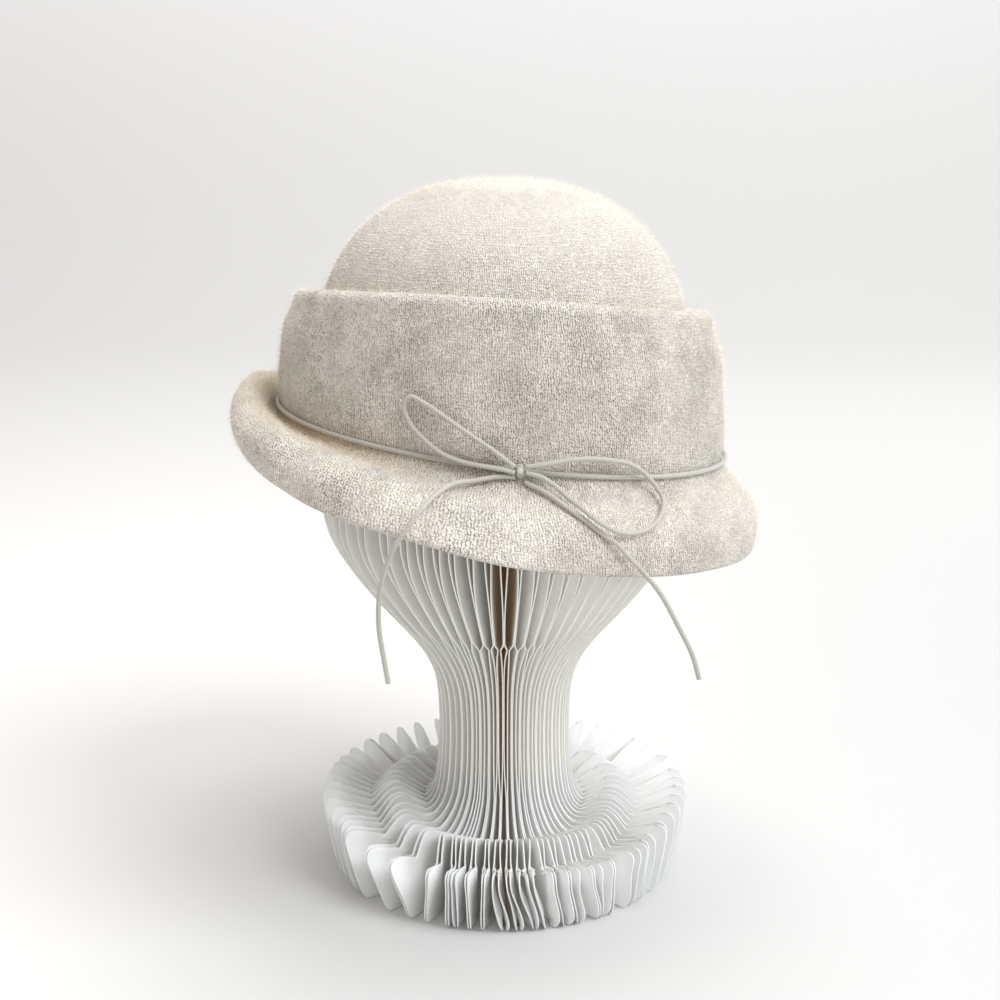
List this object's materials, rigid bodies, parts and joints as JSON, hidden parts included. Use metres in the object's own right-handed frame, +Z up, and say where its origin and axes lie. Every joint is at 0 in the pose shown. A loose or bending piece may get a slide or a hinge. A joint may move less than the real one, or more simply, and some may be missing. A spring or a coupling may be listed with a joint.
{
  "type": "cloche hat on a folded paper stand",
  "caption": "Cloche hat of thick knitted felt with a deep cuff, a rolled brim and a thin cord tied in a bow, on a plain stand of fanned paper sheets.",
  "frame": {"origin": "centre of the stand's foot, on the surface it stands on", "axes": "+Z up, -X towards the hat's front, +X towards its back, -Y towards the wearer's left, where the bow is"},
  "size_m": [0.2487, 0.2589, 0.339],
  "materials": {
    "felt": "thick fulled knit, matt and fuzzy, mottled cream and pale grey",
    "cord": "fine round cord, matt, grey beige",
    "paper": null
  },
  "bodies": {
    "root": {"felt_body": "felt", "waist_cord": "cord", "bow_knot": "cord", "bow_loop_front": "cord", "bow_loop_back": "cord", "bow_tail_front": "cord", "bow_tail_back": "cord", "paper_stand": "paper"}
  },
  "joints": []
}
